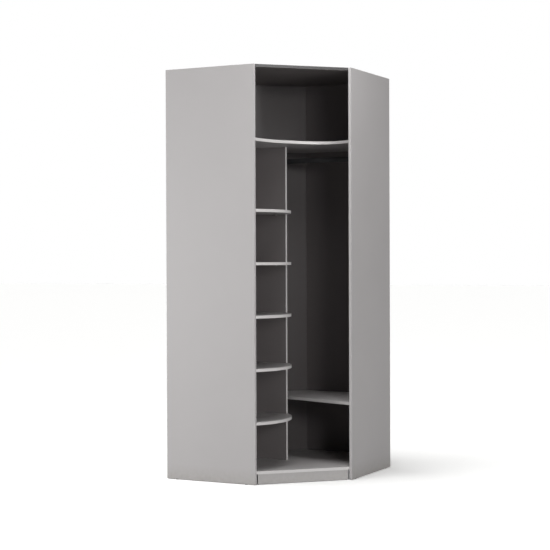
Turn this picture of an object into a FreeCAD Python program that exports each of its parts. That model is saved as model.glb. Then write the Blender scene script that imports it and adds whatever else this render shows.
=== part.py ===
import FreeCAD, Part
import math
import os
import Sketcher

# Corner wardrobe: two side panels on the walls, a slanted open front, a clipped back corner,
# a column of bow-fronted loose shelves beside a hanging space with a hat shelf and a low shelf.
# The frame stands on the floor at the middle of the outline: the left wall is the plane of least X,
# the right wall is the plane of greatest Y, and the open front looks towards +X and -Y.

SIZES = {
    # Carcass
    "height": 2300,             # floor to the top of the side panels
    "wall_length": 960,         # length taken up along each wall
    "side_depth": 560,          # side panel from the wall to its front edge
    "board": 16,                # melamine-faced chipboard
    "edging": 1,                # plastic strip on a front edge
    "back_board": 3,            # hardboard back panels
    "rebate_width": 9,          # step in the side panel that takes the back panel
    "rebate_gap": 0.5,          # play of the back panel in that step
    # Base
    "glide_height": 3,          # plastic glides lift the boards off the floor
    "glide_radius": 7,
    "glide_inset": 60,          # glide from either end of a side panel
    "glide_spread": 150,        # glides under the corner board, from its middle
    "spigot_radius": 2,         # pin of the glide in the board
    "spigot_length": 10,
    "plinth_height": 58,        # floor to the underside of the bottom panel
    "plinth_setback": 5,        # plinth behind the front plane
    "plinth_end_gap": 8,        # open joint at either end of the plinth, along the front
    "block_length": 40,         # block that holds the plinth to the bottom panel
    "block_side": 20,
    "block_inset": 120,         # middle of the block from the end of the front
    # Small shelves
    "divider_gap": 477,         # clear width between the left side panel and the divider
    "divider_mouth": 439,       # clear width between the divider's front edge and the right panel
    "corner_gap": 36,           # clear width between the divider and the corner board, at the wall
    "lowest_bay": 252,          # clear height under the lowest small shelf
    "highest_bay": 372,         # clear height over the highest small shelf
    "bow_depth": 90,            # rise of the bowed front over its chord
    "shelf_gap": 0.5,           # play of a loose shelf at the side panel and the divider
    "shelf_back_gap": 2,
    # Large shelves
    "hat_space": 386,           # clear height between the hat shelf and the top panel
    "hollow_depth": 150,        # depth of the hollow front at its deepest place
    "hollow_run": 160,          # right panel's front edge to that place, along the front
    "low_shelf_height": 435,    # floor to the top of the low shelf
    "low_shelf_corner": 146,    # left wall to the end of the low shelf's front edge
    # Hanging rail
    "rail_width": 15,
    "rail_depth": 30,
    "rail_wall": 1.2,
    "rail_from_wall": 240,      # right wall to the middle of the rail
    "rail_drop": 65,            # hat shelf down to the middle of the rail
    "rail_gap": 0.3,            # play of the rail in its holders
    "holder_wall": 2.4,         # wall of the holders round the rail
    "holder_plate": 3,          # screwed plate of the holders
    "flange_depth": 12,         # reach of the flange's cup
    "flange_width": 28,
    "flange_length": 58,
    "hanger_from_corner": 102,  # corner board to the middle of the hanger, along the rail
    "hanger_length": 18,
    "hanger_web": 8,
    "hanger_plate_length": 54,
    "hanger_plate_width": 24,
    "rail_overhang": 8,         # rail past the hanger
    "cap_plate": 2,
    "cap_plug": 8,
    # Fasteners
    "fit": 0.1,                 # radial play of a fastener in its hole
    "hole_end": 0.5,            # play at the blind end of a hole
    "fix_back": 80,             # back fastener from the wall
    "fix_front": 80,            # front fastener from the front edge
    "cam_radius": 7.5,
    "cam_height": 12,
    "cam_axis": 8,              # bored face to the bolt's axis
    "cam_reach": 34,            # board's end to the cam's axis
    "cam_slot_gap": 0.5,
    "cam_slot_past": 4,         # slot past the cam's axis
    "bolt_radius": 3,
    "bolt_in_side": 11,
    "dowel_radius": 4,
    "dowel_in_side": 10,
    "dowel_in_shelf": 20,
    "screw_radius": 3.5,        # panel screw
    "screw_length": 50,
    "screw_head_radius": 5,
    "screw_head_height": 3,
    "screw_spread": 150,        # panel screws in the corner board, from its middle
    "pin_radius": 2.5,          # shelf pin
    "pin_in_board": 9,
    "pin_reach": 8,
    "pin_plate": 2,
    "pin_plate_width": 10,
    "pin_inset": 60,            # pin from the back panel and from its own board's front edge
    "nail_radius": 1.2,         # back panel nail
    "nail_length": 15,
    "nail_inset": 6,            # nail from the end of the corner board's mitre
    "nail_margin": 150,         # first and last nail from the back panel's ends
    "rail_screw_radius": 1.8,
    "rail_screw_length": 12,
    "rail_screw_head_radius": 3.2,
    "rail_screw_head_height": 1.6,
    "flange_screw_spread": 23,  # flange screws above and below the rail's middle
    "hanger_screw_spread": 20,  # hanger screws either side of its middle
}

SMALL_SHELVES = 5
OVERSHOOT = 1                   # a drill starts this far outside the board
SAME_POINT = 1e-6               # points nearer than this are one
FLAT_COUNT = 8                  # small round fasteners and their holes are drawn with flats
WIDE_FLAT_COUNT = 12            # and the wider ones with more

UP = FreeCAD.Vector(0, 0, 1)
DOWN = FreeCAD.Vector(0, 0, -1)
RIGHT = FreeCAD.Vector(1, 0, 0)
LEFT = FreeCAD.Vector(-1, 0, 0)
BACK = FreeCAD.Vector(0, 1, 0)
FRONT = FreeCAD.Vector(0, -1, 0)
INTO_ROOM = FreeCAD.Vector(math.sqrt(0.5), -math.sqrt(0.5), 0)
FRONT_LINE = FreeCAD.Vector(math.sqrt(0.5), math.sqrt(0.5), 0)
ALONG_FRONT = FreeCAD.Rotation(UP, 45)

doc = FreeCAD.newDocument("corner_wardrobe")
sheet = doc.addObject("Spreadsheet::Sheet", "Sizes")
for row, (alias, value) in enumerate(SIZES.items(), start=1):
    sheet.set(f"A{row}", alias)
    sheet.set(f"B{row}", str(value))
    sheet.setAlias(f"B{row}", alias)
doc.recompute()


class Length:
    """A length held twice: as the text of an expression and as its present number."""

    def __init__(self, text, number):
        self.text = text
        self.number = number

    def __add__(self, other):
        other = as_length(other)
        return Length(f"({self.text} + {other.text})", self.number + other.number)

    def __sub__(self, other):
        other = as_length(other)
        return Length(f"({self.text} - {other.text})", self.number - other.number)

    def __mul__(self, other):
        other = as_length(other)
        return Length(f"({self.text} * {other.text})", self.number * other.number)

    def __truediv__(self, other):
        other = as_length(other)
        return Length(f"({self.text} / {other.text})", self.number / other.number)


def as_length(value):
    """A plain number is a length too."""
    if isinstance(value, Length):
        return value
    return Length(f"({value})", value)


def root(length):
    return Length(f"sqrt({length.text})", math.sqrt(length.number))


def size(alias):
    return Length(f"Sizes.{alias}", SIZES[alias])


# Places in plan, from the left wall and from the outer face of the left side panel
zero = as_length(0)
diagonal = root(as_length(2))
height = size("height")
wall = size("wall_length")
board = size("board")
edging = size("edging")
back_left = size("back_board")
back_right = wall - size("back_board")
inner_left = board
inner_right = wall - board
front_left = size("side_depth")
front_right = wall - size("side_depth")
floor_gap = size("glide_height")
bottom_under = size("plinth_height")
bottom_top = bottom_under + board
hat_top = height - board - size("hat_space")
hat_under = hat_top - board
low_top = size("low_shelf_height")
low_under = low_top - board
divider_left = inner_left + size("divider_gap")
divider_right = divider_left + board
divider_front = inner_right - size("divider_mouth")
corner_start = divider_right + size("corner_gap")
corner_cut = wall - corner_start
corner_line = corner_start - back_left
lowest_under = bottom_top + size("lowest_bay")
highest_under = hat_under - size("highest_bay") - board
shelf_pitch = (highest_under - lowest_under) / (SMALL_SHELVES - 1)
rail_y = wall - size("rail_from_wall")
rail_z = hat_under - size("rail_drop")
hanger_middle = rail_y - corner_line + size("hanger_from_corner")
flange_face = inner_right - size("holder_plate")
fix_places = [size("fix_back"), front_left - size("fix_front")]

nodes = {}
drillings = {}


def place(thing, point, rotation=FreeCAD.Rotation()):
    """Bind a thing's base point, given in plan and in height over the floor."""
    thing.Placement = FreeCAD.Placement(FreeCAD.Vector(), rotation)
    thing.setExpression("Placement.Base.x", (point[0] - wall / 2).text)
    thing.setExpression("Placement.Base.y", (point[1] - wall / 2).text)
    thing.setExpression("Placement.Base.z", point[2].text)


def moved(point, direction, distance):
    """A point carried along a direction by a length."""
    steps = (direction.x, direction.y, direction.z)
    return tuple(item + as_length(distance) * step for item, step in zip(point, steps))


def flip(point):
    """The plan is the same on both walls: a place on the left panel gives the one on the right."""
    return (wall - point[1], wall - point[0], *point[2:])


def on_side(side, from_back, inward):
    """Plan place at a side panel, from the wall behind and from the panel's inner face."""
    place_left = (from_back, inner_left + inward)
    return place_left if side == "left" else flip(place_left)


INWARD = {"left": BACK, "right": LEFT}
OUTWARD = {"left": FRONT, "right": RIGHT}


class Bend:
    """An arc to the next corner; side 1 swells to the left of the way drawn, -1 to the right."""

    def __init__(self, radius, side):
        self.radius = radius
        self.side = side


HALF_ROUND = "half round"


def rectangle(low_x, low_y, high_x, high_y):
    return [(low_x, low_y), (high_x, low_y), (high_x, high_y), (low_x, high_y)]


def as_vector(corner):
    return FreeCAD.Vector(corner[0].number, corner[1].number, 0)


def edge_between(corner, following):
    """Line or arc from one corner to the next at the present sizes."""
    start = as_vector(corner)
    end = as_vector(following)
    if len(corner) == 2:
        return Part.LineSegment(start, end)
    chord = end - start
    left = FreeCAD.Vector(-chord.y, chord.x, 0).normalize()
    half = chord.Length / 2
    if corner[2] == HALF_ROUND:
        return Part.Arc(start, (start + end) / 2 - left * half, end)
    radius = corner[2].radius.number
    rise = radius - math.sqrt(radius * radius - half * half)
    return Part.Arc(start, (start + end) / 2 + left * (rise * corner[2].side), end)


def bind(sketch, constraint, length):
    """Add a constraint and tie its value to the sheet."""
    index = sketch.addConstraint(constraint)
    sketch.setExpression(f"Constraints[{index}]", length.text)


def draw(sketch, corners):
    """Close an outline through corners (x, y) or (x, y, bend of the edge that leaves)."""
    first = sketch.GeometryCount
    count = len(corners)
    ends = []
    for index, corner in enumerate(corners):
        sketch.addGeometry(edge_between(corner, corners[(index + 1) % count]))
        forwards = (sketch.getPoint(first + index, 1) - as_vector(corner)).Length < SAME_POINT
        ends.append((1, 2) if forwards else (2, 1))
    for index, corner in enumerate(corners):
        edge = first + index
        after = (index + 1) % count
        join = ("Coincident", edge, ends[index][1], first + after, ends[after][0])
        sketch.addConstraint(Sketcher.Constraint(*join))
        start = (edge, ends[index][0])
        bind(sketch, Sketcher.Constraint("DistanceX", -1, 1, *start, corner[0].number), corner[0])
        bind(sketch, Sketcher.Constraint("DistanceY", -1, 1, *start, corner[1].number), corner[1])
        if len(corner) == 3 and corner[2] == HALF_ROUND:
            level = Sketcher.Constraint("DistanceY", -1, 1, edge, 3, corner[1].number)
            bind(sketch, level, corner[1])
        elif len(corner) == 3:
            radius = corner[2].radius
            bind(sketch, Sketcher.Constraint("Radius", edge, radius.number), radius)


def add_pad(body, plane_role, outlines, thickness, offset=zero):
    """Pad closed outlines from one of the body's own planes."""
    plane = next(item for item in body.Origin.OriginFeatures if item.Role == plane_role)
    sketch = body.newObject("Sketcher::SketchObject", f"{body.Name}_outline")
    sketch.AttachmentSupport = [(plane, "")]
    sketch.MapMode = "FlatFace"
    sketch.setExpression("AttachmentOffset.Base.z", offset.text)
    for corners in outlines:
        draw(sketch, corners)
    pad = body.newObject("PartDesign::Pad", f"{body.Name}_pad")
    pad.Profile = sketch
    pad.setExpression("Length", thickness.text)
    body.Tip = pad


def make_board(name, corners, base, thickness):
    """A flat board: an outline in plan, raised by a thickness."""
    body = doc.addObject("PartDesign::Body", name)
    add_pad(body, "XY_Plane", [corners], thickness)
    place(body, (zero, zero, base))
    nodes[name] = body


def rod(radius, length, point, direction, flat_count=FLAT_COUNT):
    bar = doc.addObject("Part::Prism", "rod")
    bar.Polygon = flat_count
    bar.setExpression("Circumradius", radius.text)
    bar.setExpression("Height", length.text)
    place(bar, point, FreeCAD.Rotation(UP, direction))
    return bar


def box(length, width, tall, point, rotation=FreeCAD.Rotation()):
    block = doc.addObject("Part::Box", "block")
    block.setExpression("Length", length.text)
    block.setExpression("Width", width.text)
    block.setExpression("Height", tall.text)
    place(block, point, rotation)
    return block


def fused(first, second):
    joined = doc.addObject("Part::Fuse", "joined")
    joined.Base = first
    joined.Tool = second
    joined.Refine = True
    return joined


def cut(base, tool):
    left_over = doc.addObject("Part::Cut", "cut")
    left_over.Base = base
    left_over.Tool = tool
    left_over.Refine = True
    return left_over


def group(name, solids):
    """Like fasteners share one node."""
    together = doc.addObject("Part::Compound", name)
    together.Links = solids
    nodes[name] = together


def drill(name, radius, depth, point, direction, flat_count=FLAT_COUNT):
    """Note a hole in a board, from its mouth inwards."""
    mouth = moved(point, direction, -OVERSHOOT)
    hole = rod(radius + size("fit"), depth + OVERSHOOT, mouth, direction, flat_count)
    drillings.setdefault(name, []).append(hole)


# Carcass boards

def side_panels():
    """Two upright panels, each with a step at the back edge for the back panel."""
    front = front_left - edging
    step = board - size("rebate_width")
    left = [(zero, zero), (front, zero), (front, board), (back_left, board),
            (back_left, step), (zero, step)]
    tall = height - floor_gap
    make_board("left_side_panel", left, floor_gap, tall)
    make_board("right_side_panel", [flip(corner) for corner in left], floor_gap, tall)
    strip = rectangle(front, zero, front_left, board)
    make_board("left_side_edging", strip, floor_gap, tall)
    make_board("right_side_edging", [flip(corner) for corner in strip], floor_gap, tall)


def back_panels():
    """Thin backs on both walls and a slanted board that clips the corner between them."""
    mitre = board * diagonal
    inner_corner = (back_left, corner_start)
    outer_corner = (back_left, corner_start + mitre)
    slant = [inner_corner, flip(inner_corner), flip(outer_corner), outer_corner]
    make_board("corner_back_board", slant, floor_gap, height - floor_gap)
    start = board - size("rebate_width") + size("rebate_gap")
    left = [(zero, start), (back_left, start), outer_corner, (zero, outer_corner[1])]
    make_board("left_back_panel", left, bottom_under, height - bottom_under)
    right = [flip(corner) for corner in left]
    make_board("right_back_panel", right, bottom_under, height - bottom_under)


def back_corners():
    """Corners that a full-width board has along the backs and the corner board."""
    inner_corner = (back_left, corner_start)
    return [(inner_right, back_right), flip(inner_corner), inner_corner]


def top_and_bottom():
    """Six-cornered boards between the side panels, edged along the slanted front."""
    front_corner = (front_left - edging * diagonal, inner_left)
    outline = [(back_left, inner_left), front_corner, flip(front_corner), *back_corners()]
    make_board("top_panel", outline, height - board, board)
    make_board("bottom_panel", outline, bottom_under, board)
    front_end = (front_left, inner_left)
    strip = [front_corner, front_end, flip(front_end), flip(front_corner)]
    make_board("top_edging", strip, height - board, board)
    make_board("bottom_edging", strip, bottom_under, board)


def plinth():
    """Square-cut board under the front edge of the bottom panel, held by two blocks behind it."""
    setback = size("plinth_setback")
    front_end = moved((front_left, inner_left), FRONT_LINE, size("plinth_end_gap"))
    near = moved(front_end, INTO_ROOM, zero - setback)
    far = moved(near, INTO_ROOM, zero - board)
    outline = [far, near, flip(near), flip(far)]
    make_board("plinth_board", outline, floor_gap, bottom_under - floor_gap)
    face_line = front_left - inner_left - (setback + board) * diagonal
    middle_x = (wall + face_line) / 2
    spread = (inner_right - front_left) / diagonal - size("block_inset")
    length = size("block_length")
    side = size("block_side")
    blocks = []
    for way in (-1, 1):
        offset = (spread * way - length / 2) / diagonal
        base = (middle_x + offset, wall - middle_x + offset, bottom_under - side)
        blocks.append(box(length, side, side, base, ALONG_FRONT))
    group("plinth_blocks", blocks)


def divider():
    """Upright board beside the small shelves, from the bottom panel to the hat shelf."""
    front = divider_front - edging
    tall = hat_under - bottom_top
    outline = rectangle(back_left, divider_left, front, divider_right)
    make_board("divider_panel", outline, bottom_top, tall)
    strip = rectangle(front, divider_left, divider_front, divider_right)
    make_board("divider_edging", strip, bottom_top, tall)


# Shelves

def hat_shelf():
    """Full-width shelf whose hollow front is a long arc and a short one that meet at its deepest place."""
    hollow = size("hollow_depth")
    short_run = size("hollow_run")
    long_run = (inner_right - front_left) * diagonal - short_run
    left_end = (front_left, inner_left)
    right_end = flip(left_end)
    deepest = moved(moved(left_end, FRONT_LINE, long_run), INTO_ROOM, zero - hollow)
    long_radius = (long_run * long_run + hollow * hollow) / (hollow * 2)
    short_radius = (short_run * short_run + hollow * hollow) / (hollow * 2)
    long_centre = moved(deepest, INTO_ROOM, long_radius)
    short_centre = moved(deepest, INTO_ROOM, short_radius)
    long_outer = long_radius + edging
    short_outer = short_radius + edging
    rise = inner_left - long_centre[1]
    run = inner_right - short_centre[0]
    board_left = (long_centre[0] - root(long_outer * long_outer - rise * rise), inner_left)
    board_right = (inner_right, short_centre[1] + root(short_outer * short_outer - run * run))
    board_deepest = moved(deepest, INTO_ROOM, zero - edging)
    outline = [(back_left, inner_left), (*board_left, Bend(long_outer, 1)),
               (*board_deepest, Bend(short_outer, 1)), board_right, *back_corners()]
    make_board("hat_shelf", outline, hat_under, board)
    strip = [(*left_end, Bend(long_radius, 1)), (*deepest, Bend(short_radius, 1)), right_end,
             (*board_right, Bend(short_outer, -1)), (*board_deepest, Bend(long_outer, -1)), board_left]
    make_board("hat_shelf_edging", strip, hat_under, board)


def small_shelves():
    """Loose shelves with a bowed front that laps over the divider's front edge."""
    gap = size("shelf_gap")
    bow = size("bow_depth")
    back = back_left + size("shelf_back_gap")
    start_y = inner_left + gap
    end_y = divider_left - gap
    lap_x = divider_front + gap
    chord_x = lap_x - front_left
    chord_y = divider_right - start_y
    chord = root(chord_x * chord_x + chord_y * chord_y)
    radius = (chord * chord / 4 + bow * bow) / (bow * 2)
    inner = radius - edging
    centre_x = (front_left + lap_x) / 2 - (radius - bow) * chord_y / chord
    centre_y = (start_y + divider_right) / 2 + (radius - bow) * chord_x / chord
    left_rise = start_y - centre_y
    lap_run = lap_x - centre_x
    board_start = (centre_x + root(inner * inner - left_rise * left_rise), start_y)
    board_end = (lap_x, centre_y + root(inner * inner - lap_run * lap_run))
    outline = [(back, start_y), (*board_start, Bend(inner, -1)), board_end,
               (lap_x, end_y), (back, end_y)]
    strip = [(front_left, start_y, Bend(radius, -1)), (lap_x, divider_right),
             (*board_end, Bend(inner, 1)), board_start]
    for number in range(SMALL_SHELVES):
        under = lowest_under + shelf_pitch * number
        make_board(f"small_shelf_{number + 1}", outline, under, board)
        make_board(f"small_shelf_edging_{number + 1}", strip, under, board)


def low_shelf():
    """Shelf under the hanging space, with a straight edge from the right panel to the corner board."""
    right_end = (inner_right, front_right)
    corner_x = size("low_shelf_corner")
    corner_end = (corner_x, corner_x + corner_line)
    slope = (corner_end[1] - right_end[1]) / (corner_end[0] - right_end[0])
    shift = edging * root(slope * slope + 1)
    board_right = (inner_right, front_right + shift)
    meeting_x = (board_right[1] - slope * inner_right - corner_line) / (as_length(1) - slope)
    board_corner = (meeting_x, meeting_x + corner_line)
    outline = [board_right, *back_corners()[:2], board_corner]
    make_board("low_shelf", outline, low_under, board)
    make_board("low_shelf_edging", [right_end, board_right, board_corner, corner_end], low_under, board)


# Hanging rail

def oval(half_width, half_height):
    """Upright oval round the origin with half-round ends."""
    straight = half_height - half_width
    left = zero - half_width
    low = zero - straight
    return [(half_width, low), (half_width, straight, HALF_ROUND), (left, straight),
            (left, low, HALF_ROUND)]


def hanging_rail():
    """Oval tube between a flange on the right panel and a hanger under the hat shelf."""
    half_width = size("rail_width") / 2
    half_height = size("rail_depth") / 2
    thin = size("rail_wall")
    grip = size("rail_gap")
    shell = size("holder_wall")
    plate = size("holder_plate")
    hanger_start = hanger_middle - size("hanger_length") / 2
    rail_start = hanger_start - size("rail_overhang")
    bore = oval(half_width + grip, half_height + grip)
    sleeve = oval(half_width + grip + shell, half_height + grip + shell)

    tube = doc.addObject("PartDesign::Body", "hanging_rail")
    tube_wall = [oval(half_width, half_height), oval(half_width - thin, half_height - thin)]
    add_pad(tube, "YZ_Plane", tube_wall, flange_face - grip - rail_start)
    place(tube, (rail_start, rail_y, rail_z))
    nodes["hanging_rail"] = tube

    cap = doc.addObject("PartDesign::Body", "rail_end_cap")
    add_pad(cap, "YZ_Plane", [oval(half_width, half_height)], size("cap_plate"))
    plug_half = half_width - thin - size("fit")
    plug_rise = half_height - half_width
    plug = rectangle(zero - plug_half, zero - plug_rise, plug_half, plug_rise)
    add_pad(cap, "YZ_Plane", [plug], size("cap_plug"), size("cap_plate"))
    place(cap, (rail_start - size("cap_plate"), rail_y, rail_z))
    nodes["rail_end_cap"] = cap

    flange = doc.addObject("PartDesign::Body", "rail_flange")
    cup_depth = size("flange_depth")
    add_pad(flange, "YZ_Plane", [sleeve, bore], cup_depth)
    flange_plate = oval(size("flange_width") / 2, size("flange_length") / 2)
    add_pad(flange, "YZ_Plane", [flange_plate], plate, cup_depth)
    place(flange, (flange_face - cup_depth, rail_y, rail_z))
    nodes["rail_flange"] = flange

    hanger = doc.addObject("PartDesign::Body", "rail_hanger")
    length = size("hanger_length")
    add_pad(hanger, "YZ_Plane", [sleeve, bore], length)
    web = size("hanger_web") / 2
    web_foot = half_height + grip + shell / 2
    web_head = size("rail_drop") - plate / 2
    add_pad(hanger, "YZ_Plane", [rectangle(zero - web, web_foot, web, web_head)], length)
    plate_near = (length - size("hanger_plate_length")) / 2
    plate_far = length - plate_near
    plate_half = size("hanger_plate_width") / 2
    plate_outline = rectangle(plate_near, zero - plate_half, plate_far, plate_half)
    add_pad(hanger, "XY_Plane", [plate_outline], plate, size("rail_drop") - plate)
    place(hanger, (hanger_start, rail_y, rail_z))
    nodes["rail_hanger"] = hanger


def rail_screws():
    """Two screws through the flange into the right panel, two through the hanger into the hat shelf."""
    places = []
    for way in (-1, 1):
        level = rail_z + size("flange_screw_spread") * way
        places.append(("rail_flange", "right_side_panel", (flange_face, rail_y, level), RIGHT))
        along = hanger_middle + size("hanger_screw_spread") * way
        plate_under = hat_under - size("holder_plate")
        places.append(("rail_hanger", "hat_shelf", (along, rail_y, plate_under), UP))
    radius = size("rail_screw_radius")
    plate = size("holder_plate")
    length = size("rail_screw_length")
    head = size("rail_screw_head_height")
    screws = []
    for holder, panel, mouth, way in places:
        drill(holder, radius, plate + OVERSHOOT, mouth, way)
        drill(holder, size("rail_screw_head_radius"), head, mouth, way)
        drill(panel, radius, length - plate + size("hole_end"), moved(mouth, way, plate), way)
        shank = rod(radius, length, mouth, way)
        screws.append(fused(shank, rod(size("rail_screw_head_radius"), head, mouth, way)))
    group("rail_screws", screws)


# Fasteners

def cam_joints():
    """Cam locks, their bolts and a dowel at each end of the fixed boards."""
    joints = [("top_panel", height, DOWN, ("left", "right")),
              ("hat_shelf", hat_top, DOWN, ("left", "right")),
              ("bottom_panel", bottom_under, UP, ("left", "right")),
              ("low_shelf", low_under, UP, ("right",))]
    cams = []
    bolts = []
    dowels = []
    for shelf, face, bore_way, sides in joints:
        axis_height = face + size("cam_axis") * bore_way.z
        for side in sides:
            for from_back in fix_places:
                cams.append(cam_lock(shelf, side, from_back, face, bore_way))
                bolts.append(cam_bolt(shelf, side, from_back, axis_height))
            middle = (fix_places[0] + fix_places[1]) / 2
            mouth = (*on_side(side, middle, zero), axis_height)
            dowels.append(dowel(shelf, f"{side}_side_panel", mouth, OUTWARD[side], INWARD[side]))
    middle = (*divider_middle(divider_places()), bottom_top)
    dowels.append(dowel("divider_panel", "bottom_panel", middle, DOWN, UP))
    dowels.append(dowel("divider_panel", "hat_shelf", (*middle[:2], hat_under), UP, DOWN))
    group("cam_locks", cams)
    group("cam_bolts", bolts)
    group("dowels", dowels)


def cam_lock(shelf, side, from_back, face, bore_way):
    """Round lock in the shelf's hidden face, slotted towards the side panel for the bolt."""
    reach = size("cam_reach")
    radius = size("cam_radius")
    tall = size("cam_height")
    mouth = (*on_side(side, from_back, reach), face)
    drill(shelf, radius, tall + size("hole_end"), mouth, bore_way, WIDE_FLAT_COUNT)
    half = size("bolt_radius") + size("cam_slot_gap")
    near = reach - radius - OVERSHOOT
    far = reach + size("cam_slot_past")
    first = on_side(side, from_back - half, near)
    second = on_side(side, from_back + half, far)
    low_corner = first if side == "left" else second
    length = half * 2 if side == "left" else far - near
    width = far - near if side == "left" else half * 2
    slot_base = face + size("cam_axis") * bore_way.z - half
    slot = box(length, width, half * 2, (*low_corner, slot_base))
    return cut(rod(radius, tall, mouth, bore_way, WIDE_FLAT_COUNT), slot)


def cam_bolt(shelf, side, from_back, axis_height):
    """Bolt from the side panel to the axis of the cam lock."""
    radius = size("bolt_radius")
    deep = size("bolt_in_side")
    reach = size("cam_reach")
    mouth = (*on_side(side, from_back, zero), axis_height)
    drill(f"{side}_side_panel", radius, deep + size("hole_end"), mouth, OUTWARD[side])
    drill(shelf, radius, reach, mouth, INWARD[side])
    return rod(radius, deep + reach, moved(mouth, OUTWARD[side], deep), INWARD[side])


def dowel(shelf, panel, mouth, panel_way, shelf_way):
    """Wooden dowel across a butt joint."""
    radius = size("dowel_radius")
    in_panel = size("dowel_in_side")
    in_shelf = size("dowel_in_shelf")
    drill(panel, radius, in_panel + size("hole_end"), mouth, panel_way)
    drill(shelf, radius, in_shelf + size("hole_end"), mouth, shelf_way)
    return rod(radius, in_panel + in_shelf, moved(mouth, panel_way, in_panel), shelf_way)


def divider_places():
    """Back and front fastener of the divider, from the left wall."""
    return [size("fix_back"), divider_front - size("fix_front")]


def divider_middle(places):
    return ((places[0] + places[1]) / 2, (divider_left + divider_right) / 2)


def panel_screws():
    """Screws through the bottom panel, the hat shelf and the corner board into board edges."""
    middle_y = (divider_left + divider_right) / 2
    places = []
    for x in divider_places():
        places.append(("bottom_panel", "divider_panel", (x, middle_y, bottom_under), UP))
        places.append(("hat_shelf", "divider_panel", (x, middle_y, hat_top), DOWN))
    levels = [("top_panel", height - board / 2), ("hat_shelf", hat_top - board / 2),
              ("bottom_panel", bottom_top - board / 2), ("low_shelf", low_top - board / 2)]
    for shelf, level in levels:
        for way in (-1, 1):
            if shelf == "low_shelf" and way < 0:
                continue
            x = (back_left + corner_cut) / 2 + size("screw_spread") * way / diagonal
            inner_face = (x, x + corner_line, level)
            mouth = moved(inner_face, INTO_ROOM, zero - board)
            places.append(("corner_back_board", shelf, mouth, INTO_ROOM))
    radius = size("screw_radius")
    length = size("screw_length")
    head_radius = size("screw_head_radius")
    head = size("screw_head_height")
    screws = []
    for outer, inner, mouth, way in places:
        drill(outer, radius, board + OVERSHOOT, mouth, way)
        drill(outer, head_radius, head, mouth, way)
        drill(inner, radius, length - board + size("hole_end"), moved(mouth, way, board), way)
        screws.append(fused(rod(radius, length, mouth, way), rod(head_radius, head, mouth, way)))
    group("panel_screws", screws)


def shelf_pins():
    """Four pins with flat tops under each loose shelf."""
    radius = size("pin_radius")
    deep = size("pin_in_board")
    reach = size("pin_reach")
    plate = size("pin_plate")
    width = size("pin_plate_width")
    inset = size("pin_inset")
    boards = [("left_side_panel", inner_left, front_left, FRONT),
              ("divider_panel", divider_left, divider_front, BACK)]
    pins = []
    for number in range(SMALL_SHELVES):
        under = lowest_under + shelf_pitch * number
        axis_height = under - plate / 2 - radius
        for panel, face, front, into_board in boards:
            for x in (back_left + inset, front - inset):
                mouth = (x, face, axis_height)
                drill(panel, radius, deep + size("hole_end"), mouth, into_board)
                stud = rod(radius, deep + reach, moved(mouth, into_board, deep), into_board * -1)
                plate_y = face if into_board == FRONT else face - reach
                rest = box(width, reach, plate, (x - width / 2, plate_y, under - plate))
                pins.append(fused(stud, rest))
    group("shelf_pins", pins)


def back_nails():
    """Flush nails that hold each back panel to its side panel and to the corner board."""
    side_line = board - size("rebate_width") / 2
    mitre_line = corner_start + board * diagonal - size("nail_inset")
    margin = size("nail_margin")
    levels = [bottom_under + margin, (bottom_under + height) / 2, height - margin]
    radius = size("nail_radius")
    length = size("nail_length")
    thick = size("back_board")
    nails = []
    for side, way in (("left", RIGHT), ("right", FRONT)):
        for line, holder in ((side_line, f"{side}_side_panel"), (mitre_line, "corner_back_board")):
            for level in levels:
                mouth = (zero, line, level)
                mouth = mouth if side == "left" else flip(mouth)
                drill(f"{side}_back_panel", radius, thick + OVERSHOOT, mouth, way)
                depth = length - thick + size("hole_end")
                drill(holder, radius, depth, moved(mouth, way, thick), way)
                nails.append(rod(radius, length, mouth, way))
    group("back_nails", nails)


def floor_glides():
    """Plastic discs with a spigot under the side panels and the corner board."""
    inset = size("glide_inset")
    half = board / 2
    places = []
    for side in ("left", "right"):
        for from_back in (inset, front_left - inset):
            places.append((f"{side}_side_panel", on_side(side, from_back, zero - half)))
    for way in (-1, 1):
        x = (back_left + corner_cut) / 2 + size("glide_spread") * way / diagonal
        places.append(("corner_back_board", (x - half / diagonal, x + corner_line + half / diagonal)))
    spigot = size("spigot_radius")
    reach = size("spigot_length")
    glides = []
    for panel, spot in places:
        drill(panel, spigot, reach + size("hole_end"), (*spot, floor_gap), UP)
        disc = rod(size("glide_radius"), floor_gap, (*spot, zero), UP, WIDE_FLAT_COUNT)
        glides.append(fused(disc, rod(spigot, floor_gap + reach, (*spot, zero), UP)))
    group("floor_glides", glides)


def bore_boards():
    """Take the noted holes out of each board; the bored board is the node."""
    for name, holes in drillings.items():
        blank = nodes[name]
        blank.Label = f"{name} before boring"
        drills = doc.addObject("Part::MultiFuse", f"{name}_drills")
        drills.Shapes = holes
        bored = cut(blank, drills)
        nodes[name] = bored


def write_parts():
    """Check every object, then write one file for each node."""
    for name, thing in nodes.items():
        thing.Label = name
    doc.recompute()
    for thing in doc.Objects:
        if "Invalid" in thing.State or "Error" in thing.State:
            raise RuntimeError(f"{thing.Label} failed: {thing.State}")
    for name in drillings:
        if nodes[name].Shape.Volume >= nodes[name].Base.Shape.Volume:
            raise RuntimeError(f"{name} was not bored")
    os.makedirs("parts", exist_ok=True)
    for name, thing in nodes.items():
        shape = thing.Shape
        if shape.isNull() or not shape.isValid():
            raise RuntimeError(f"{name} has no sound shape")
        shape.exportStep(f"parts/{name}.step")
        print(name, len(shape.Solids), round(shape.Volume))


side_panels()
back_panels()
top_and_bottom()
plinth()
divider()
hat_shelf()
small_shelves()
low_shelf()
hanging_rail()
rail_screws()
cam_joints()
panel_screws()
shelf_pins()
back_nails()
floor_glides()
bore_boards()
write_parts()
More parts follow.
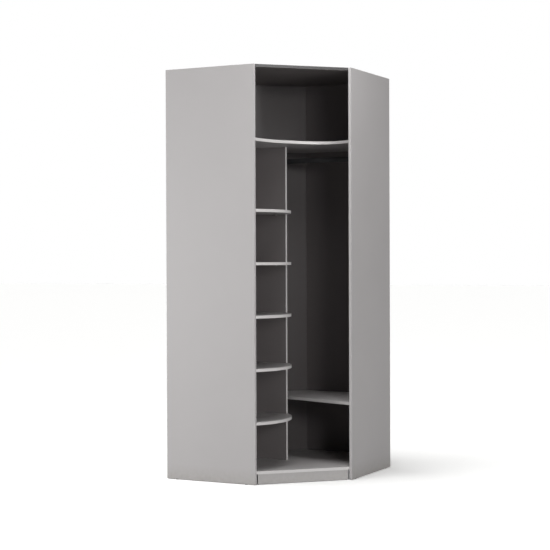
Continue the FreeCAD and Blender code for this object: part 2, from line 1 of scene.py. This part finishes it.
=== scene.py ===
# %% [markdown]
# # An open corner wardrobe
# The wardrobe is flat-pack furniture: boards of melamine-faced chipboard, edged with plastic strips
# and held by hidden fittings. Its shapes are already exact in the construction model, so this lesson
# loads that model as a frame and spends its time on what the eye reads: surfaces, edges and light.

# %% Load the frame
import bpy
import math
from mathutils import Matrix, Vector

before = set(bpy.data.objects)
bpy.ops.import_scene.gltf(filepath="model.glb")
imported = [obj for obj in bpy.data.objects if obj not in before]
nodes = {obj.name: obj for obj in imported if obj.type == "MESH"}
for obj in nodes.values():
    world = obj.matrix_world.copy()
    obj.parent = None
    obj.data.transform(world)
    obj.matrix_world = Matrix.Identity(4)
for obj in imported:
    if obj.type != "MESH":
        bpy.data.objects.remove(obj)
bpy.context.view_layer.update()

# %% [markdown]
# ## Helpers
# Colours are written as sRGB hex values, as on a paint card, but the shaders work in linear light,
# so one function converts them. Shader trees are long to write by hand: one small function adds a
# node, sets its values and joins its inputs. Patterns are sized by the real thing in millimetres,
# while the model is in metres.

# %% Colour and node helpers
MM_PER_M = 1000


def linear(hex_colour):
    """sRGB hex to the linear colour that a shader socket takes, by the standard's own curve."""
    channels = [int(hex_colour[i:i + 2], 16) / 255 for i in (1, 3, 5)]
    below = [c / 12.92 for c in channels]
    above = [((c + 0.055) / 1.055) ** 2.4 for c in channels]
    return (*(b if c <= 0.04045 else a for c, b, a in zip(channels, below, above)), 1.0)


def add(tree, kind, settings=None, links=None):
    """Add a node; a setting goes to a socket of that name or number, or else to a property."""
    node = tree.nodes.new(kind)
    for name, value in (settings or {}).items():
        if isinstance(name, int) or name in node.inputs:
            node.inputs[name].default_value = value
        else:
            setattr(node, name, value)
    for name, output in (links or {}).items():
        tree.links.new(output, node.inputs[name])
    return node


def grains(size_mm):
    """Texture scale for features of that size."""
    return MM_PER_M / size_mm


def new_material(name):
    """A named material, its node tree and its main shader."""
    material = bpy.data.materials.new(name)
    material.use_nodes = True
    return material, material.node_tree, material.node_tree.nodes["Principled BSDF"]


# The Mix node has many sockets of one name, so those for colours go by their numbers
MIX_SHARE = 0
MIX_FIRST = 6
MIX_SECOND = 7
MIX_RESULT = 2

print("a light grey in linear light:", [round(c, 3) for c in linear("#bab7b7")])

# %% [markdown]
# ## Rubbed edges
# No real edge is a knife edge: the corners of a board and its strip are broken by about a
# millimetre, and use rubs them a little paler, here more and there less. A modifier could round the
# meshes, at the price of many small faces. The shader's Bevel node rounds the shading alone, and
# where its normal turns away from the flat one there is an edge, so the same node tells where to rub.

# %% Rubbed edges
EDGE_MM = 1.2
EDGE_SAMPLES = 4
RUB_MM = 14.0
RUB_DETAIL = 3.0
# Cosine of the turn where the rubbing starts, and where it is full
RUB_START = 0.98
RUB_FULL = 0.80


def worn_edges(tree, place):
    """A normal that rounds the edges off, and a broken mask along them."""
    bevel = add(tree, "ShaderNodeBevel", {"samples": EDGE_SAMPLES, "Radius": EDGE_MM / MM_PER_M})
    soft = bevel.outputs["Normal"]
    flat = add(tree, "ShaderNodeNewGeometry").outputs["True Normal"]
    turn = add(tree, "ShaderNodeVectorMath", {"operation": "DOT_PRODUCT"}, {0: soft, 1: flat})
    edge = add(tree, "ShaderNodeMapRange", {"From Min": RUB_START, "From Max": RUB_FULL},
               {"Value": turn.outputs["Value"]})
    rubbing = add(tree, "ShaderNodeTexNoise", {"Scale": grains(RUB_MM), "Detail": RUB_DETAIL},
                  {"Vector": place})
    broken = add(tree, "ShaderNodeMath", {"operation": "MULTIPLY"},
                 {0: edge.outputs["Result"], 1: rubbing.outputs["Fac"]})
    return soft, broken.outputs[0]


print("edges rounded by", EDGE_MM, "mm")

# %% [markdown]
# ## Camera
# A product picture of tall furniture is taken from far away with a long lens, so that its uprights
# stay upright. The place, lens and tilt were worked out from the corners of the outline, and here
# they are only written down. The camera stands 8.2 m away, at about half the wardrobe's height.

# %% Camera
CAMERA_PLACE = Vector((3.6649, -7.2842, 1.2222))
CAMERA_TURN = math.radians(26.953)
CAMERA_PITCH = math.radians(-0.550)
CAMERA_ROLL = math.radians(-0.211)
LENS_MM = 92.39
SENSOR_MM = 36.0
VIEW_END = 200.0

camera_data = bpy.data.cameras.new("camera")
camera_data.lens = LENS_MM
camera_data.sensor_width = SENSOR_MM
camera_data.clip_end = VIEW_END
camera = bpy.data.objects.new("camera", camera_data)
bpy.context.scene.collection.objects.link(camera)
forward = Vector((-math.sin(CAMERA_TURN) * math.cos(CAMERA_PITCH),
                  math.cos(CAMERA_TURN) * math.cos(CAMERA_PITCH), math.sin(CAMERA_PITCH)))
level_right = Vector((math.cos(CAMERA_TURN), math.sin(CAMERA_TURN), 0.0))
level_up = level_right.cross(forward)
camera_right = level_right * math.cos(CAMERA_ROLL) + level_up * math.sin(CAMERA_ROLL)
camera_up = level_up * math.cos(CAMERA_ROLL) - level_right * math.sin(CAMERA_ROLL)
camera_axes = Matrix((camera_right, camera_up, -forward)).transposed()
camera.matrix_world = Matrix.Translation(CAMERA_PLACE) @ camera_axes.to_4x4()
bpy.context.scene.camera = camera
print("camera at", [round(v, 2) for v in CAMERA_PLACE], "lens", LENS_MM, "mm")

# %% [markdown]
# ## Studio floor
# The picture is a cut-out on white ground, so the floor is wide, pale and nearly white. It glows a
# little, but only to the camera: as bounced light it counts as mid grey. Otherwise it would light
# the shelves from below, which a cut-out picture doesn't show.

# %% Floor
FLOOR_HALF = 60.0
FLOOR_PAINT = ("#f8f8f7", "#fcfcfb")
FLOOR_BOUNCE = "#9c9c9b"
FLOOR_GLOW = 0.14
FLOOR_ROUGHNESS = 0.8
FLOOR_GLOSS = 0.1
ROLLER_MM = 400
ROLLER_DETAIL = 2.0
WHITE = "#ffffff"

floor_mesh = bpy.data.meshes.new("studio_floor")
floor_corners = [(-FLOOR_HALF, -FLOOR_HALF, 0), (FLOOR_HALF, -FLOOR_HALF, 0),
                 (FLOOR_HALF, FLOOR_HALF, 0), (-FLOOR_HALF, FLOOR_HALF, 0)]
floor_mesh.from_pydata(floor_corners, [], [(0, 1, 2, 3)])
studio_floor = bpy.data.objects.new("studio_floor", floor_mesh)
bpy.context.scene.collection.objects.link(studio_floor)

# Matt paint put on with a roller: an even pale ground with hardly any gloss
floor_paint, tree, shader = new_material("pale studio paint")
shader.inputs["Roughness"].default_value = FLOOR_ROUGHNESS
shader.inputs["Specular IOR Level"].default_value = FLOOR_GLOSS
shader.inputs["Emission Color"].default_value = linear(WHITE)
coordinates = add(tree, "ShaderNodeTexCoord")
rolled = add(tree, "ShaderNodeTexNoise", {"Scale": grains(ROLLER_MM), "Detail": ROLLER_DETAIL},
             {"Vector": coordinates.outputs["Object"]})
darker, lighter = (linear(tone) for tone in FLOOR_PAINT)
paint = add(tree, "ShaderNodeMix", {"data_type": "RGBA", MIX_FIRST: darker, MIX_SECOND: lighter},
            {MIX_SHARE: rolled.outputs["Fac"]})
seen = add(tree, "ShaderNodeLightPath").outputs["Is Camera Ray"]
shown = add(tree, "ShaderNodeMix", {"data_type": "RGBA", MIX_FIRST: linear(FLOOR_BOUNCE)},
            {MIX_SHARE: seen, MIX_SECOND: paint.outputs[MIX_RESULT]})
tree.links.new(shown.outputs[MIX_RESULT], shader.inputs["Base Color"])
glow = add(tree, "ShaderNodeMath", {"operation": "MULTIPLY", 1: FLOOR_GLOW}, {0: seen})
tree.links.new(glow.outputs[0], shader.inputs["Emission Strength"])
floor_mesh.materials.append(floor_paint)
print("floor:", 2 * FLOOR_HALF, "m square")

# %% [markdown]
# ## Lights
# The picture has soft even light, a bright left side, a right side that falls off towards the back,
# and an inside that sinks into shade. A soft sun from above whitens the floor. A large softbox lights
# the left side, one far on the right lights the right side, one far in front reaches the back corner,
# and a small one above the front fills the upper space. The world is white to the camera alone, so
# that it adds no light of its own.

# %% Lights
SUN_STRENGTH = 3.0
SUN_DEGREES = 40.0
SUN_PLACE = (-0.8, -0.8, 5.0)
SUN_TARGET = (0.0, 0.0, 0.0)
# Watts, side in metres, place and target of each softbox
SOFTBOXES = {
    "left_softbox": (174.0, 3.0, (-4.0, -4.5, 0.9), (-0.2, -0.4, 1.0)),
    "right_softbox": (330.0, 1.5, (9.0, -3.5, 1.2), (-0.1, 0.1, 1.2)),
    "front_softbox": (123.0, 1.5, (6.0, -6.7, 2.6), (-0.1, 0.1, 1.2)),
    "top_softbox": (7.1, 0.6, (1.0, -0.8, 2.7), (-0.1, 0.1, 1.2)),
}


def hang_light(data, place, target):
    """Put a light into the studio at a place and point it at a target."""
    light = bpy.data.objects.new(data.name, data)
    bpy.context.scene.collection.objects.link(light)
    light.visible_camera = False
    light.location = place
    light.rotation_mode = "QUATERNION"
    light.rotation_quaternion = (Vector(target) - Vector(place)).to_track_quat("-Z", "Y")


for name, (watts, side, place, target) in SOFTBOXES.items():
    box_data = bpy.data.lights.new(name, "AREA")
    box_data.energy = watts
    box_data.shape = "SQUARE"
    box_data.size = side
    hang_light(box_data, place, target)

sun_data = bpy.data.lights.new("overhead", "SUN")
sun_data.energy = SUN_STRENGTH
sun_data.angle = math.radians(SUN_DEGREES)
hang_light(sun_data, SUN_PLACE, SUN_TARGET)

world = bpy.data.worlds.new("studio")
bpy.context.scene.world = world
world.use_nodes = True
tree = world.node_tree
ray = add(tree, "ShaderNodeLightPath")
tree.links.new(ray.outputs["Is Camera Ray"], tree.nodes["Background"].inputs["Strength"])
tree.nodes["Background"].inputs["Color"].default_value = linear(WHITE)
bpy.context.scene.view_settings.view_transform = "Standard"
print("lights:", [light.name for light in bpy.data.lights])

# %% [markdown]
# ## Melamine-faced chipboard
# The boards are chipboard with a printed paper pressed on under melamine resin. The press plate
# leaves a fine pearl texture, so the surface is satin: broad soft highlights, no mirror. A print has
# a faint cloudiness too, and near the floor a board gathers dust and scuffs. All this could be
# photographed textures; noise at the right sizes does the same and never repeats. The pearls are
# about 0.5 mm, too fine to show here, so they are drawn at 3 mm.

# %% Melamine
MELAMINE_IOR = 1.52
SATIN_LEAST = 0.40
SATIN_MOST = 0.50
CLOUD_MM = 260.0
CLOUD_DETAIL = 4.0
PEARL_MM = 3.0
PEARL_DETAIL = 1.0
PEARL_DEPTH_MM = 0.2
PEARL_STRENGTH = 0.12
SCUFF_MM = 18.0
SCUFF_DETAIL = 5.0
SCUFF_HEIGHT = 0.09


def melamine(name, darker, lighter, dust, rubbed):
    """Satin printed board; dust gathers low down, near the floor, and the edges are rubbed."""
    material, tree, shader = new_material(name)
    shader.inputs["IOR"].default_value = MELAMINE_IOR
    place = add(tree, "ShaderNodeTexCoord").outputs["Object"]
    cloud = add(tree, "ShaderNodeTexNoise", {"Scale": grains(CLOUD_MM), "Detail": CLOUD_DETAIL},
                {"Vector": place})
    tint = add(tree, "ShaderNodeMix",
               {"data_type": "RGBA", MIX_FIRST: linear(darker), MIX_SECOND: linear(lighter)},
               {MIX_SHARE: cloud.outputs["Fac"]})
    height = add(tree, "ShaderNodeSeparateXYZ", None, {"Vector": place}).outputs["Z"]
    near_floor = add(tree, "ShaderNodeMapRange", {"From Min": SCUFF_HEIGHT, "From Max": 0.0},
                     {"Value": height})
    scuffs = add(tree, "ShaderNodeTexNoise", {"Scale": grains(SCUFF_MM), "Detail": SCUFF_DETAIL},
                 {"Vector": place})
    dirt = add(tree, "ShaderNodeMath", {"operation": "MULTIPLY"},
               {0: near_floor.outputs["Result"], 1: scuffs.outputs["Fac"]})
    colour = add(tree, "ShaderNodeMix", {"data_type": "RGBA", MIX_SECOND: linear(dust)},
                 {MIX_SHARE: dirt.outputs[0], MIX_FIRST: tint.outputs[MIX_RESULT]})
    soft, wear = worn_edges(tree, place)
    worn = add(tree, "ShaderNodeMix", {"data_type": "RGBA", MIX_SECOND: linear(rubbed)},
               {MIX_SHARE: wear, MIX_FIRST: colour.outputs[MIX_RESULT]})
    tree.links.new(worn.outputs[MIX_RESULT], shader.inputs["Base Color"])
    satin = add(tree, "ShaderNodeMapRange", {"To Min": SATIN_LEAST, "To Max": SATIN_MOST},
                {"Value": cloud.outputs["Fac"]})
    tree.links.new(satin.outputs["Result"], shader.inputs["Roughness"])
    pearls = add(tree, "ShaderNodeTexNoise", {"Scale": grains(PEARL_MM), "Detail": PEARL_DETAIL},
                 {"Vector": place})
    bump = add(tree, "ShaderNodeBump",
               {"Strength": PEARL_STRENGTH, "Distance": PEARL_DEPTH_MM / MM_PER_M},
               {"Height": pearls.outputs["Fac"], "Normal": soft})
    tree.links.new(bump.outputs["Normal"], shader.inputs["Normal"])
    return material


# Light grey print on the sides, plinth and shelves: a calm, even satin surface
grey_melamine = melamine("light grey melamine", darker="#b4b1b1", lighter="#bab7b7",
                         dust="#a39f9a", rubbed="#cfcccb")
# Graphite print on the top and the corner board, darker than the outside boards, as painted shade: it
# takes up light, so the inside looks deep
shade_dark_melamine = melamine("shade-dark melamine", darker="#656060", lighter="#6c6767",
                             dust="#65615e", rubbed="#86817d")
# The divider's copy of the dark print is a shade lighter, as painted light on its face, so the face
# stands out from the backs
lit_divider_melamine = melamine("lit divider melamine", darker="#6e6969", lighter="#767171",
                            dust="#6e6a67", rubbed="#8c8783")
print("boards:", grey_melamine.name, shade_dark_melamine.name, lit_divider_melamine.name)

# %% [markdown]
# ## Raw chipboard and hardboard
# Where no strip covers it, a board's edge shows its core: pressed wood chips, pale brown with dark
# flecks, quite matt. The chips are drawn as cells of 3 mm, equal every way, because an edge cuts
# them every way. The thin backs are hardboard, felted wood fibre pressed smooth: lacquered dark
# towards the inside, a dark tone that is painted shade, and left brown towards the wall. The fibres
# are finer than a hair, too fine to show here, so their clumps are drawn at 4 mm.

# %% Chipboard core and hardboard
CHIP_MM = 3.0
CHIP_DEPTH_MM = 0.4
CHIP_STRENGTH = 0.5
CHIP_ROUGHNESS = 0.9
FIBRE_MM = 4.0
FIBRE_DETAIL = 5.0
FIBRE_BREAK = 0.7
FIBRE_DEPTH_MM = 0.2
FIBRE_STRENGTH = 0.2
MATT_SPREAD = 0.06


def chipboard_core(name, darker, lighter):
    """Pressed chips, each of its own brown, with a coarse relief."""
    material, tree, shader = new_material(name)
    shader.inputs["Roughness"].default_value = CHIP_ROUGHNESS
    place = add(tree, "ShaderNodeTexCoord").outputs["Object"]
    chips = add(tree, "ShaderNodeTexVoronoi", {"Scale": grains(CHIP_MM)}, {"Vector": place})
    shade = add(tree, "ShaderNodeSeparateColor", None, {"Color": chips.outputs["Color"]})
    colour = add(tree, "ShaderNodeMix",
                 {"data_type": "RGBA", MIX_FIRST: linear(darker), MIX_SECOND: linear(lighter)},
                 {MIX_SHARE: shade.outputs[0]})
    tree.links.new(colour.outputs[MIX_RESULT], shader.inputs["Base Color"])
    bump = add(tree, "ShaderNodeBump",
               {"Strength": CHIP_STRENGTH, "Distance": CHIP_DEPTH_MM / MM_PER_M},
               {"Height": chips.outputs["Distance"]})
    tree.links.new(bump.outputs["Normal"], shader.inputs["Normal"])
    return material


def hardboard(name, darker, lighter, roughness):
    """Felted fibres: tone, roughness and a faint relief from one noise."""
    material, tree, shader = new_material(name)
    place = add(tree, "ShaderNodeTexCoord").outputs["Object"]
    fibres = add(tree, "ShaderNodeTexNoise",
                 {"Scale": grains(FIBRE_MM), "Detail": FIBRE_DETAIL, "Roughness": FIBRE_BREAK},
                 {"Vector": place})
    colour = add(tree, "ShaderNodeMix",
                 {"data_type": "RGBA", MIX_FIRST: linear(darker), MIX_SECOND: linear(lighter)},
                 {MIX_SHARE: fibres.outputs["Fac"]})
    tree.links.new(colour.outputs[MIX_RESULT], shader.inputs["Base Color"])
    matt = add(tree, "ShaderNodeMapRange",
               {"To Min": roughness - MATT_SPREAD, "To Max": roughness + MATT_SPREAD},
               {"Value": fibres.outputs["Fac"]})
    tree.links.new(matt.outputs["Result"], shader.inputs["Roughness"])
    bump = add(tree, "ShaderNodeBump",
               {"Strength": FIBRE_STRENGTH, "Distance": FIBRE_DEPTH_MM / MM_PER_M},
               {"Height": fibres.outputs["Fac"]})
    tree.links.new(bump.outputs["Normal"], shader.inputs["Normal"])
    return material


# Cut chips: a rough, flecked, pale brown line along the bare edges
raw_chipboard = chipboard_core("raw chipboard", darker="#8d7355", lighter="#c2a884")
# Thin lacquer over fibre in the dark tone of the graphite boards, but duller: painted shade on the
# inside of the backs
shade_dark_hardboard = hardboard("shade-dark lacquered hardboard", darker="#656060", lighter="#726c6c", roughness=0.6)
# Bare fibre: dark brown and quite matt
bare_hardboard = hardboard("bare hardboard", darker="#6b4f38", lighter="#8a6848", roughness=0.85)
print("core:", raw_chipboard.name, "backs:", shade_dark_hardboard.name, bare_hardboard.name)

# %% [markdown]
# ## Edging, metal, plastic and beech
# ABS edging is extruded and then scraped flush, so it is a little smoother than the boards, with
# faint chatter marks along it. The side panels' strips have the tone of the boards; those of the
# inner boards are paler, as painted light, and the top's is dark, as painted shade. The rail is
# powder-coated steel, whose coat dries like orange peel. Fittings are zinc-plated steel, the glides
# moulded plastic and the dowels beech. All of them have two near tones, a satin gloss and a faint
# relief, so one function makes them all. Chatter marks and moulded grain are finer than drawn: at
# their real size they would not show.

# %% Edging and fittings
CHATTER_MM = 7.0
PEEL_MM = 1.6
PLATING_MM = 6.0
MOULD_MM = 1.2
BEECH_MM = 1.5
SPECK_DETAIL = 2.0
GLOSS_SPREAD = 0.05
RELIEF_STRENGTH = 0.3
EVEN = (1, 1, 1)
UPRIGHT_GRAIN = (1, 1, 0.1)


def speckled(name, darker, lighter, rubbed, size_mm, roughness, relief_mm, metallic=0.0, stretch=EVEN):
    """Two near tones, a roughness and a relief from one noise of that size; rubbed edges."""
    material, tree, shader = new_material(name)
    shader.inputs["Metallic"].default_value = metallic
    place = add(tree, "ShaderNodeTexCoord").outputs["Object"]
    scaled = add(tree, "ShaderNodeVectorMath", {"operation": "MULTIPLY", 1: stretch}, {0: place})
    noise = add(tree, "ShaderNodeTexNoise", {"Scale": grains(size_mm), "Detail": SPECK_DETAIL},
                {"Vector": scaled.outputs["Vector"]})
    colour = add(tree, "ShaderNodeMix",
                 {"data_type": "RGBA", MIX_FIRST: linear(darker), MIX_SECOND: linear(lighter)},
                 {MIX_SHARE: noise.outputs["Fac"]})
    soft, wear = worn_edges(tree, place)
    worn = add(tree, "ShaderNodeMix", {"data_type": "RGBA", MIX_SECOND: linear(rubbed)},
               {MIX_SHARE: wear, MIX_FIRST: colour.outputs[MIX_RESULT]})
    tree.links.new(worn.outputs[MIX_RESULT], shader.inputs["Base Color"])
    gloss = add(tree, "ShaderNodeMapRange",
                {"To Min": roughness - GLOSS_SPREAD, "To Max": roughness + GLOSS_SPREAD},
                {"Value": noise.outputs["Fac"]})
    tree.links.new(gloss.outputs["Result"], shader.inputs["Roughness"])
    bump = add(tree, "ShaderNodeBump",
               {"Strength": RELIEF_STRENGTH, "Distance": relief_mm / MM_PER_M},
               {"Height": noise.outputs["Fac"], "Normal": soft})
    tree.links.new(bump.outputs["Normal"], shader.inputs["Normal"])
    return material


strip_surface = {"size_mm": CHATTER_MM, "roughness": 0.36, "relief_mm": 0.05}
# A thin clean line along the side panels, hardly lighter than their faces
grey_edging = speckled("grey ABS edging", darker="#bbb8b8", lighter="#c2bfbf", rubbed="#d3d1d0",
                       **strip_surface)
# A paler copy of the grey strip along each inner board, as painted light: a bright line, clear against
# the shade behind it
lit_edging = speckled("lit grey ABS edging", darker="#ccc9c8", lighter="#d4d1d0", rubbed="#dfdddc",
                       **strip_surface)
# A dark copy of the strip along the top, as painted shade: a dark line that closes the opening at its
# top
shade_dark_edging = speckled("shade-dark ABS edging", darker="#302e2e", lighter="#363434", rubbed="#4a4747",
                           **strip_surface)
# A dark coat with soft, slightly uneven highlights along the tube
powder_coat = speckled("powder-coated steel", darker="#3a3a3c", lighter="#434345", rubbed="#5b5b5d",
                       size_mm=PEEL_MM, roughness=0.42, relief_mm=0.06)
# A cool, cloudy metal
zinc_plate = speckled("zinc-plated steel", darker="#a9aaa6", lighter="#c3c3bd", rubbed="#d3d3cf",
                      size_mm=PLATING_MM, roughness=0.34, relief_mm=0.02, metallic=1.0)
# Nearly black and dull, with a fine grain from the mould
black_plastic = speckled("moulded black plastic", darker="#1c1c1d", lighter="#262627", rubbed="#3a3a3b",
                         size_mm=MOULD_MM, roughness=0.52, relief_mm=0.04)
# Warm wood with long fibres
beech = speckled("beech", darker="#c39a6b", lighter="#d8b48a", rubbed="#e2c49f",
                 size_mm=BEECH_MM, roughness=0.6, relief_mm=0.05, stretch=UPRIGHT_GRAIN)
print("strips:", grey_edging.name, lit_edging.name, shade_dark_edging.name)
print("fittings:", powder_coat.name, zinc_plate.name, black_plastic.name, beech.name)

# %% [markdown]
# ## Dressing the boards
# A real board has two printed faces and a raw core at its edges. Each board of the frame is one
# mesh, so its triangles are sorted by the way they look: those square to the board's thickness get
# the print, the others the core. The plinth's edges are printed too. The backs are lacquered dark on
# the inside only, as painted shade, and stay brown towards the wall. The strips on the front edges
# are pieces of their own.

# %% Faces and edges of the boards
ACROSS_FRONT = Vector((1, -1, 0)).normalized()
LEFT_WALL = Vector((1, 0, 0))
RIGHT_WALL = Vector((0, 1, 0))
LEVEL = Vector((0, 0, 1))
FACE_LIMIT = 0.9

# Direction across the board, finish of its faces and finish of its edges
boards = {
    "left_side_panel": (RIGHT_WALL, grey_melamine, raw_chipboard),
    "right_side_panel": (LEFT_WALL, grey_melamine, raw_chipboard),
    "divider_panel": (RIGHT_WALL, lit_divider_melamine, raw_chipboard),
    "corner_back_board": (ACROSS_FRONT, shade_dark_melamine, raw_chipboard),
    "plinth_board": (ACROSS_FRONT, grey_melamine, grey_melamine),
    "top_panel": (LEVEL, shade_dark_melamine, raw_chipboard),
    "bottom_panel": (LEVEL, grey_melamine, raw_chipboard),
    "hat_shelf": (LEVEL, grey_melamine, raw_chipboard),
    "low_shelf": (LEVEL, grey_melamine, raw_chipboard),
}
# Direction into the wardrobe, finish of the inside and finish of the rest
backs = {
    "left_back_panel": (LEFT_WALL, shade_dark_hardboard, bare_hardboard),
    "right_back_panel": (-RIGHT_WALL, shade_dark_hardboard, bare_hardboard),
}
for name in nodes:
    if name.startswith("small_shelf_") and "edging" not in name:
        boards[name] = (LEVEL, grey_melamine, raw_chipboard)


def dress_board(name, across, face_finish, edge_finish, both_faces=True):
    """Finish the faces and the edges; returns how many triangles belong to the edges."""
    mesh = nodes[name].data
    mesh.materials.clear()
    mesh.materials.append(face_finish)
    mesh.materials.append(edge_finish)
    edges = 0
    for polygon in mesh.polygons:
        facing = polygon.normal.dot(across)
        on_face = facing > FACE_LIMIT or (both_faces and facing < -FACE_LIMIT)
        polygon.material_index = int(not on_face)
        edges += not on_face
    return edges


for name, finish in boards.items():
    print(name, "edge triangles:", dress_board(name, *finish))
for name, finish in backs.items():
    print(name, "bare triangles:", dress_board(name, *finish, both_faces=False))

# %% [markdown]
# ## Dressing strips and fittings
# What is left has one finish all over. A table names the pieces that differ; every other strip is
# one of the paler ones of the inner boards, whose paler tone is painted light, and every other
# fitting is zinc-plated.

# %% Strips and fittings
fittings = {
    "left_side_edging": grey_edging,
    "right_side_edging": grey_edging,
    "top_edging": shade_dark_edging,
    "hanging_rail": powder_coat,
    "rail_flange": powder_coat,
    "rail_hanger": powder_coat,
    "rail_end_cap": black_plastic,
    "plinth_blocks": black_plastic,
    "floor_glides": black_plastic,
    "dowels": beech,
}
for name in nodes:
    if name in boards or name in backs:
        continue
    finish = fittings.get(name, lit_edging if "edging" in name else zinc_plate)
    mesh = nodes[name].data
    mesh.materials.clear()
    mesh.materials.append(finish)
    print(name, "is", finish.name)
